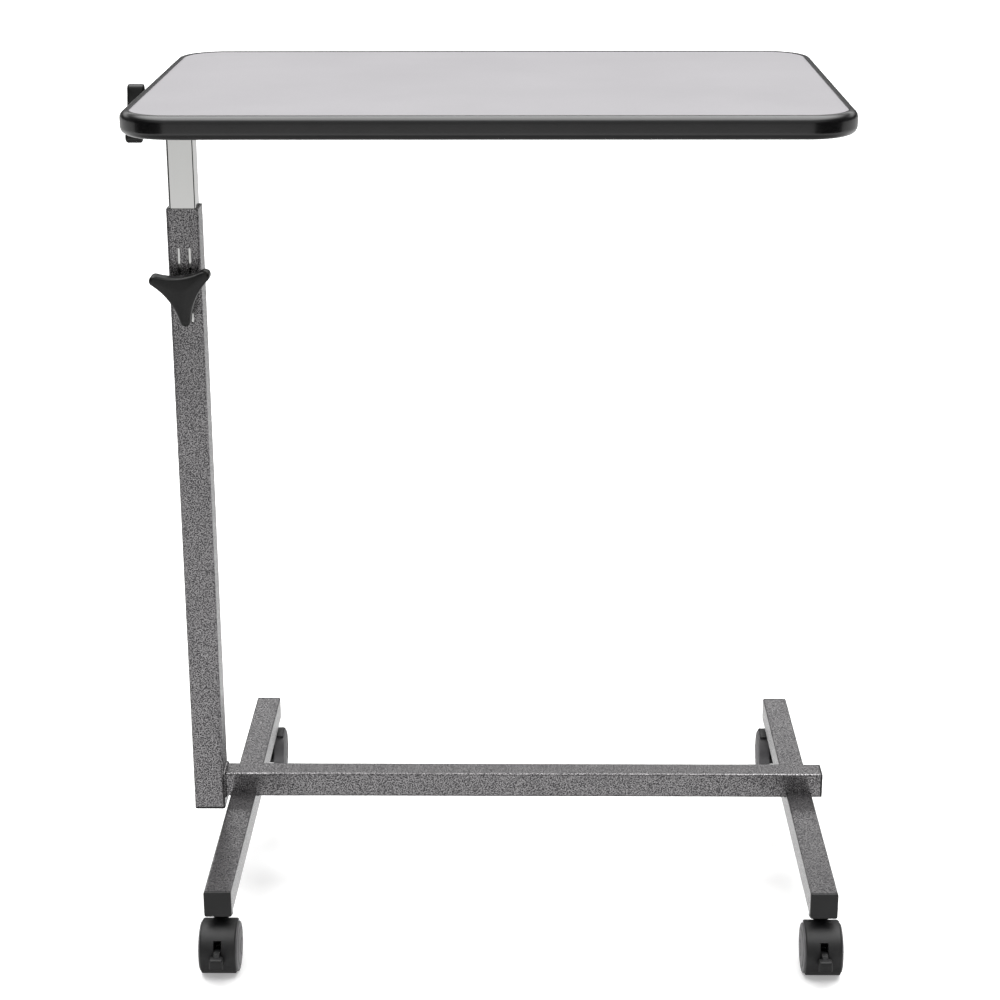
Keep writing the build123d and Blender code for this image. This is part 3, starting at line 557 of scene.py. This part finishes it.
# caster housing: walls swept about the axle, angles measured up from straight ahead, and an oval column
# round the stem; overlapMm is how far a web reaches into the hood, and topRound is pairs of (distance in
# from the boss's side, distance down from its top)
housing = {"gapMm": 0.6, "wallMm": 2.0, "halfWidthMm": 16.4, "frontDegrees": -45, "backDegrees": 118,
           "rimMm": 1.7, "overlapMm": 0.5, "webHalfMm": 5.6, "webMm": 13.0, "boreMm": 3.02, "bossMm": 10.0,
           "topRound": ((1.2, 0), (0.35, 0.35), (0, 1.2)), "trailMm": 18.0, "stemBoreMm": 4.05,
           "stemBottomMm": 33.7, "bossFromMm": 46.6, "slotHalfMm": 3.4, "slotRimMm": 0.5,
           "slotLowDegrees": -28, "slotHighDegrees": 39, "leverRoomMm": 9.5, "turnSteps": 160,
           "leastSteps": 6, "cornerSteps": 6, "stemSteps": 64, "sharpDegrees": 35}


# section with square inner corners and outer corners rounded by the radii given
def wallSection(acrossLow, acrossHigh, radiusLow, radiusHigh, roundLow, roundHigh):
    quarter = np.radians(np.linspace(0, 90, housing["cornerSteps"]))
    points = [(acrossLow, radiusLow), (acrossHigh, radiusLow)]
    points += [(acrossHigh - roundHigh * (1 - math.cos(a)), radiusHigh - roundHigh * (1 - math.sin(a)))
               for a in quarter]
    points += [(acrossLow + roundLow * (1 - math.cos(a)), radiusHigh - roundLow * (1 - math.sin(a)))
               for a in quarter[::-1]]
    return np.array(points)


# a section of (across, radius) carried from one angle to another: each point stands across along the
# axle, ahead by radius times the cosine and up by radius times the sine; open ends close to a point
def sweepWall(axle, ahead, section, lowDegrees, highDegrees):
    swept = highDegrees - lowDegrees
    full = swept >= 360
    steps = max(housing["leastSteps"], round(swept / 360 * housing["turnSteps"]))
    angle = np.radians(np.linspace(lowDegrees, highDegrees, steps, endpoint=not full))
    rings = np.repeat(section[None], len(angle), 0)
    if not full:
        centre = np.repeat(section.mean(0)[None, None], len(section), 1)
        rings = np.concatenate([centre, rings, centre])
        angle = np.concatenate([angle[:1], angle, angle[-1:]])
    across, radius = rings[..., 0] * mm, rings[..., 1] * mm
    grid = np.stack([axle.x + across, axle.y + ahead * radius * np.cos(angle)[:, None],
                     axle.z + radius * np.sin(angle)[:, None]], -1)
    return grid, full, True


# the column round the stem: ellipses of (half width, half depth) at the heights given, one above another,
# from the stem's bore over the rounded top and down the outside to the axle
def stemColumn(axle, ahead, top):
    v = housing
    stemY = axle.y - ahead * v["trailMm"] * mm
    web, boss, bore = v["webHalfMm"], v["bossMm"], v["stemBoreMm"]
    rows = [(0, 0, v["stemBottomMm"]), (bore, bore, v["stemBottomMm"]), (bore, bore, top)]
    rows += [(boss - inward, boss - inward, top - down) for inward, down in v["topRound"]]
    rows += [(boss, boss, v["bossFromMm"]), (web, boss, v["bossFromMm"]), (web, boss, axle.z / mm),
             (0, 0, axle.z / mm)]
    wide, deep, height = (np.array(rows) * mm).T[:, :, None]
    angle = np.linspace(0, 2 * math.pi, v["stemSteps"], endpoint=False)
    grid = np.stack(np.broadcast_arrays(axle.x + wide * np.cos(angle), stemY + deep * np.sin(angle),
                                        height), -1)
    return grid, False, True


def makeHousing(name, braked):
    v = housing
    node = name + "_caster_housing"
    axle = middle(name + "_caster_axle")
    ahead = -1 if name.startswith("front") else 1
    inner = (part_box(name + "_caster_left_wheel")[1].z - axle.z) / mm + v["gapMm"]
    outer, webTop = inner + v["wallMm"], inner + v["overlapMm"]
    half, web, slot, rim = v["halfWidthMm"], v["webHalfMm"], v["slotHalfMm"], v["rimMm"]
    front, back, bore, room = v["frontDegrees"], v["backDegrees"], v["boreMm"], v["leverRoomMm"]
    hood = wallSection(-half, half, inner, outer, rim, rim)
    if braked:
        low, high = v["slotLowDegrees"], v["slotHighDegrees"]
        centrePlate = wallSection(-slot, slot, room, webTop, 0, 0)
        centreRing = wallSection(-slot, slot, room, v["webMm"], 0, 0)
        walls = [(hood, front, low), (hood, high, back), (centrePlate, front, low),
                 (centrePlate, high, back), (centreRing, back, 360 + front)]
        for side in (-1, 1):
            hoodLow, hoodHigh = sorted((side * slot, side * half))
            webLow, webHigh = sorted((side * slot, side * web))
            rims = (rim, v["slotRimMm"]) if side < 0 else (v["slotRimMm"], rim)
            walls += [(wallSection(hoodLow, hoodHigh, inner, outer, *rims), low, high),
                      (wallSection(webLow, webHigh, bore, webTop, 0, 0), front, back),
                      (wallSection(webLow, webHigh, bore, v["webMm"], 0, 0), 0, 360)]
    else:
        walls = [(hood, front, back), (wallSection(-web, web, bore, webTop, 0, 0), front, back),
                 (wallSection(-web, web, bore, v["webMm"], 0, 0), 0, 360)]
    grids = [sweepWall(axle, ahead, section, start, stop) for section, start, stop in walls]
    grids.append(stemColumn(axle, ahead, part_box(node)[1].z / mm))
    addPiece(name + "CasterHousing", grids, name + "_caster", casterHood, [node],
             v["sharpDegrees"])


# brake lever, with lengths of (ahead, up) from the axle: a ring round the axle, an arm out through the
# slot, its outline drawn in towards its middle for the bevel, and a pedal, a rounded rectangle drawn in by
# the inset of each (inset, distance from its back or front) and narrower in proportion to its height
lever = {"hubMm": 6.0, "boreMm": 3.1, "halfWidthMm": 2.9, "bevelMm": 0.5, "bevelShare": 0.94,
         "pedalDepthMm": 8.5, "pedalLowMm": -5.0, "pedalHighMm": 5.5, "pedalHalfMm": 6.2,
         "pedalFlare": 0.06, "pedalRoundMm": 1.6, "pedalBack": ((0, 1.2), (0.3, 0.3), (1.2, 0)),
         "pedalFront": ((0, 1.8), (0.4, 0.9), (1.2, 0.35), (2.6, 0.1)), "pedalCornerSteps": 6,
         "pedalSideSteps": 3, "hubSteps": 48, "sharpDegrees": 35,
         "arm": ((4.5, -2.8), (9.5, -1.5), (31.5, -1.5), (31.5, 5.2), (29.8, 7.4), (26.5, 8.4), (22.0, 7.6),
                 (9.5, 3.0), (4.5, 2.8))}


def makeLever(name):
    v = lever
    node = name + "_brake_lever"
    axle = middle(name + "_caster_axle")
    front = (axle.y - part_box(node)[0].y) / mm
    back = front - v["pedalDepthMm"]
    half, bevel = v["halfWidthMm"], v["bevelMm"]
    hub = np.array([(v["boreMm"], -half), (v["hubMm"] - bevel, -half), (v["hubMm"], -half + bevel),
                    (v["hubMm"], half - bevel), (v["hubMm"] - bevel, half), (v["boreMm"], half)])
    radius, across = hub.T[:, :, None]
    angle = np.linspace(0, 2 * math.pi, v["hubSteps"], endpoint=False)
    hubGrid = np.stack(np.broadcast_arrays(across, radius * np.cos(angle), radius * np.sin(angle)), -1)
    outline = np.array(v["arm"])
    core = outline.mean(0)
    armRows = [(0, -half), (v["bevelShare"], -half), (1, -half + bevel), (1, half - bevel),
               (v["bevelShare"], half), (0, half)]
    armGrid = np.stack([atHeight(core + (outline - core) * share, side)[:, [2, 0, 1]]
                        for share, side in armRows])
    low, high = v["pedalLowMm"], v["pedalHighMm"]
    path, outward = roundedOutline(v["pedalHalfMm"], (high - low) / 2, v["pedalRoundMm"],
                                   v["pedalCornerSteps"], v["pedalSideSteps"])
    rings = [(path - outward * inset, back + step) for inset, step in v["pedalBack"][::-1]]
    rings += [(path - outward * inset, front - step) for inset, step in v["pedalFront"]]
    rings = [(path * 0, back)] + rings + [(path * 0, front)]
    pedalGrid = np.stack([atHeight(ring, ahead)[:, [0, 2, 1]] for ring, ahead in rings])
    pedalGrid[..., 0] *= 1 - v["pedalFlare"] * pedalGrid[..., 2] / (high - low)
    pedalGrid[..., 2] += (high + low) / 2
    grids = [(grid * (1, -1, 1) * mm + tuple(axle), wrap, True)
             for grid, wrap in ((hubGrid, True), (armGrid, False), (pedalGrid, False))]
    addPiece(name + "BrakeLever", grids, name + "_brake", casterHood, [node],
             v["sharpDegrees"])


# weld beads: a rounded fillet whose size swells and sinks along the seam, one ripple for each dip of the
# rod
bead = {"rippleMm": 2.3, "swell": 0.12, "sectionSteps": 9, "barCornerMm": 2.0, "barCornerSteps": 8,
        "barSideSteps": 36, "stepsPerMm": 3, "leastSteps": 8, "clearMm": 0.02, "sharpDegrees": 60}


# the section is a corner and a quarter circle about it, whose radius is the leg less the swell times a
# wave of the distance along the seam
def beadSection(legMm, distanceMm):
    wave = 0.5 + 0.5 * np.sin(2 * math.pi * distanceMm / bead["rippleMm"])
    size = legMm * (1 - bead["swell"] * wave)
    angle = np.radians(np.linspace(0, 90, bead["sectionSteps"]))
    section = np.concatenate([[(0, 0)], np.stack([np.cos(angle), np.sin(angle)], -1)])
    return size[:, None, None] * section[None]


# the bead round the bar: one leg stands out from the bar's outline, the other lies on the post, and the
# ripple is stretched so that a whole number of them goes round
def makePostWeld():
    v = bead
    low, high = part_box("post_weld")
    barLow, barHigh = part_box("base_bar")
    centre = (low + high) / 2
    path, outward = roundedOutline((barHigh.y - barLow.y) / 2, (barHigh.z - barLow.z) / 2,
                                   v["barCornerMm"] * mm, v["barCornerSteps"], v["barSideSteps"])
    steps = np.linalg.norm(np.roll(path, -1, 0) - path, axis=1)
    distance = np.concatenate([[0], np.cumsum(steps)[:-1]])
    scale = np.round(steps.sum() / mm / v["rippleMm"]) * v["rippleMm"] / (steps.sum() / mm)
    section = beadSection((high.x - low.x) / mm, distance / mm * scale) * mm
    flat = path[:, None] + outward[:, None] * section[..., :1]
    grid = np.stack([low.x + section[..., 1], centre.y + flat[..., 0], centre.z + flat[..., 1]], -1)
    addPiece("postWeldBead", [(grid, True, True)], "base", hammertoneEnamel,
             ["post_weld"], v["sharpDegrees"])


# a straight bead from start along the run, its legs in the two directions given; it shrinks to a point at
# each end by the square root of the distance to that end over the leg
def straightBead(start, run, lengthMm, legMm, legA, legB):
    steps = max(bead["leastSteps"], round(lengthMm * bead["stepsPerMm"]))
    distance = np.linspace(0, lengthMm, steps)
    ends = np.sqrt((np.minimum(distance, lengthMm - distance) / legMm).clip(0, 1))
    section = beadSection(legMm, distance) * ends[:, None, None] * mm
    line = np.array(start) + distance[:, None] * mm * np.array(run)
    grid = line[:, None] + section[..., :1] * np.array(legA) + section[..., 1:] * np.array(legB)
    return grid, False, True


def makeFootWelds():
    low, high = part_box("foot_welds")
    length, leg, clear = (high.y - low.y) / mm, (high.z - low.z) / mm, bead["clearMm"] * mm
    grids = []
    for foot in ("left_foot", "right_foot"):
        footLow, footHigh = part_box(foot)
        for x, side in ((footLow.x, -1), (footHigh.x, 1)):
            grids.append(straightBead((x + side * clear, low.y, high.z), (0, 1, 0), length, leg,
                                      (side, 0, 0), (0, 0, -1)))
    addPiece("footWeldBeads", grids, "base", hammertoneEnamel, ["foot_welds"],
             bead["sharpDegrees"])


def makeBracketWelds():
    low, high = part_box("bracket_welds")
    length, leg = (high.x - low.x) / mm, (high.z - low.z) / mm
    grids = [straightBead((low.x, y, high.z), (1, 0, 0), length, leg, (0, side, 0), (0, 0, -1))
             for y, side in ((low.y, 1), (high.y, -1))]
    addPiece("bracketWeldBeads", grids, "tabletop", powderCoat, ["bracket_welds"],
             bead["sharpDegrees"])


makeEdging()
makeLaminateSheet()
makeKnobs()
print("top and knobs done")
for row in ("front", "rear"):
    for side in ("left", "right"):
        caster = row + "_" + side
        makeHousing(caster, row == "front")
        if row == "front":
            makeLever(caster)
        for wheelSide in ("left", "right"):
            makeWheel(caster + "_caster_" + wheelSide + "_wheel", caster + "_" + wheelSide + "_wheel",
                      caster + "_caster_housing")
print("casters done")
makePostWeld()
makeFootWelds()
makeBracketWelds()
print("welds done")


# plain pale floor, far wider than the view, glowing a little so that its shadows stay faint; polished
# faces don't see it, because the dome below stands in for it
studioFloor = {"sizeM": 40.0, "colour": "#f4f4f4", "glow": 0.3, "roughness": 0.9, "specular": 0.1}


def makeFloor():
    v = studioFloor
    half = v["sizeM"] / 2
    mesh = bpy.data.meshes.new("floor")
    mesh.from_pydata([(-half, -half, 0), (half, -half, 0), (half, half, 0), (-half, half, 0)], [],
                     [(0, 1, 2, 3)])
    floor = bpy.data.objects.new("floor", mesh)
    bpy.context.scene.collection.objects.link(floor)
    material, tree, shader = startMaterial("paleStudioFloor", v["roughness"])[:3]
    setInputs(tree, shader, {"Base Color": linear(v["colour"]), "Specular IOR Level": v["specular"],
                             "Emission Color": (1, 1, 1, 1), "Emission Strength": v["glow"]})
    mesh.materials.append(material)
    floor.visible_glossy = False


# soft studio light as a dome, set out by how far each direction rises above the horizon: a wide bright
# patch overhead, leaning back, in a dim surround; a paler front; a strip of paper backdrop low behind; and
# below the horizon the pale floor's own glow, brighter close by and dimmer straight down; the camera sees
# a plain backdrop in place of all this; strengths first, then edges in degrees, then edges as the sine of
# the rise (Z) or of the direction back (Y)
dome = {"patch": 4.4, "surround": 0.07, "front": 0.36, "strip": 1.1, "floorNear": 1.05, "floorFar": 0.54,
        "floorUnder": 0.3, "backdrop": 1.0,
        "patchEdgeDegrees": 52, "patchFullDegrees": 18, "patchBackDegrees": 7, "stripLowDegrees": 16,
        "stripHighDegrees": 27,
        "stripLowSoft": 0.04, "stripHighSoft": 0.015, "stripBack": (0.3, 0.7), "frontBack": (-0.3, -0.75),
        "floorNearToFar": (-0.42, -0.12), "floorUnderToNear": (-0.8, -0.5), "horizonSoft": 0.01}


def makeLight():
    v = dome
    world = bpy.data.worlds.new("studioDome")
    bpy.context.scene.world = world
    world.use_nodes = True
    tree = world.node_tree
    ray = addNode(tree, "TexCoord").outputs["Generated"]
    split = addNode(tree, "SeparateXYZ", {"Vector": ray})
    rise, towardBack = split.outputs["Z"], split.outputs["Y"]
    lean = math.radians(v["patchBackDegrees"])
    nearness = addNode(tree, "VectorMath", {0: ray, 1: (0.0, math.sin(lean), math.cos(lean))},
                       operation="DOT_PRODUCT").outputs["Value"]
    patch = addNode(tree, "MapRange", {
        "Value": nearness, "From Min": math.cos(math.radians(v["patchEdgeDegrees"])),
        "From Max": math.cos(math.radians(v["patchFullDegrees"])), "To Min": v["surround"],
        "To Max": v["patch"]}, interpolation_type="SMOOTHSTEP").outputs["Result"]
    low, high = (math.sin(math.radians(v[name])) for name in ("stripLowDegrees", "stripHighDegrees"))
    opened = addNode(tree, "MapRange", {
        "Value": rise, "From Min": low - v["stripLowSoft"], "From Max": low + v["stripLowSoft"]},
        interpolation_type="SMOOTHSTEP").outputs["Result"]
    closed = addNode(tree, "MapRange", {
        "Value": rise, "From Min": high - v["stripHighSoft"], "From Max": high + v["stripHighSoft"],
        "To Min": 1.0, "To Max": 0.0}, interpolation_type="SMOOTHSTEP").outputs["Result"]
    behind = addNode(tree, "MapRange", {
        "Value": towardBack, "From Min": v["stripBack"][0], "From Max": v["stripBack"][1],
        "To Max": v["strip"]}, interpolation_type="SMOOTHSTEP").outputs["Result"]
    band = addNode(tree, "Math", {0: opened, 1: closed}, operation="MULTIPLY").outputs[0]
    before = addNode(tree, "MapRange", {
        "Value": towardBack, "From Min": v["frontBack"][0], "From Max": v["frontBack"][1],
        "To Max": v["front"]}, interpolation_type="SMOOTHSTEP").outputs["Result"]
    filled = addNode(tree, "Math", {0: patch, 1: before}, operation="ADD").outputs[0]
    above = addNode(tree, "Math", {0: band, 1: behind, 2: filled},
                    operation="MULTIPLY_ADD").outputs[0]
    floorGlow = addNode(tree, "MapRange", {
        "Value": rise, "From Min": v["floorNearToFar"][0], "From Max": v["floorNearToFar"][1],
        "To Min": v["floorNear"], "To Max": v["floorFar"]}).outputs["Result"]
    shaded = addNode(tree, "MapRange", {
        "Value": rise, "From Min": v["floorUnderToNear"][0], "From Max": v["floorUnderToNear"][1],
        "To Min": v["floorUnder"]}).outputs["Result"]
    below = addNode(tree, "Math", {0: floorGlow, 1: shaded}, operation="MULTIPLY").outputs[0]
    horizon = addNode(tree, "MapRange", {
        "Value": rise, "From Min": -v["horizonSoft"], "From Max": v["horizonSoft"]}).outputs["Result"]
    lit = addNode(tree, "Mix", {0: horizon, 2: below, 3: above}, data_type="FLOAT").outputs[0]
    direct = addNode(tree, "LightPath").outputs["Is Camera Ray"]
    glow = addNode(tree, "Mix", {0: direct, 2: lit, 3: v["backdrop"]}, data_type="FLOAT").outputs[0]
    setInputs(tree, tree.nodes["Background"], {"Color": (1, 1, 1, 1), "Strength": glow})
    bpy.context.scene.view_settings.view_transform = "Standard"


# two dark cards, one each side, that only reflections see: they draw the dark lines along the polished
# corners
cards = {"nearEndM": (0.9, -2.1), "farEndM": (2.1, -0.4), "bottomM": 0.01, "topM": 1.5, "colour": "#101010"}


def makeCards():
    material, tree, shader = startMaterial("darkStudioCard", 1.0)[:3]
    setInputs(tree, shader, {"Base Color": linear(cards["colour"]), "Specular IOR Level": 0.0})
    (nearX, nearY), (farX, farY) = cards["nearEndM"], cards["farEndM"]
    bottom, top = cards["bottomM"], cards["topM"]
    for side, name in ((-1, "leftCard"), (1, "rightCard")):
        mesh = bpy.data.meshes.new(name)
        mesh.from_pydata([(side * nearX, nearY, bottom), (side * farX, farY, bottom),
                          (side * farX, farY, top), (side * nearX, nearY, top)], [], [(0, 1, 2, 3)])
        mesh.materials.append(material)
        card = bpy.data.objects.new(name, mesh)
        bpy.context.scene.collection.objects.link(card)
        card.visible_camera = False
        card.visible_diffuse = False
        card.visible_shadow = False


# camera in front, above the top, with its slight turn and lean in degrees
camera = {"place": (0.0328, -2.0569, 1.0782), "pitch": 18.575, "turn": 0.67, "lean": -0.14, "lens": 81.8,
          "sensor": 36.0}


def makeCamera():
    data = bpy.data.cameras.new("camera")
    data.lens = camera["lens"]
    data.sensor_width = camera["sensor"]
    eye = bpy.data.objects.new("camera", data)
    bpy.context.scene.collection.objects.link(eye)
    turn = Matrix.Rotation(math.radians(camera["turn"]), 4, "Z")
    tip = Matrix.Rotation(math.radians(90 - camera["pitch"]), 4, "X")
    lean = Matrix.Rotation(math.radians(camera["lean"]), 4, "Z")
    eye.matrix_world = Matrix.Translation(camera["place"]) @ turn @ tip @ lean
    bpy.context.scene.camera = eye


makeFloor()
makeLight()
makeCards()
makeCamera()
print("stage done")
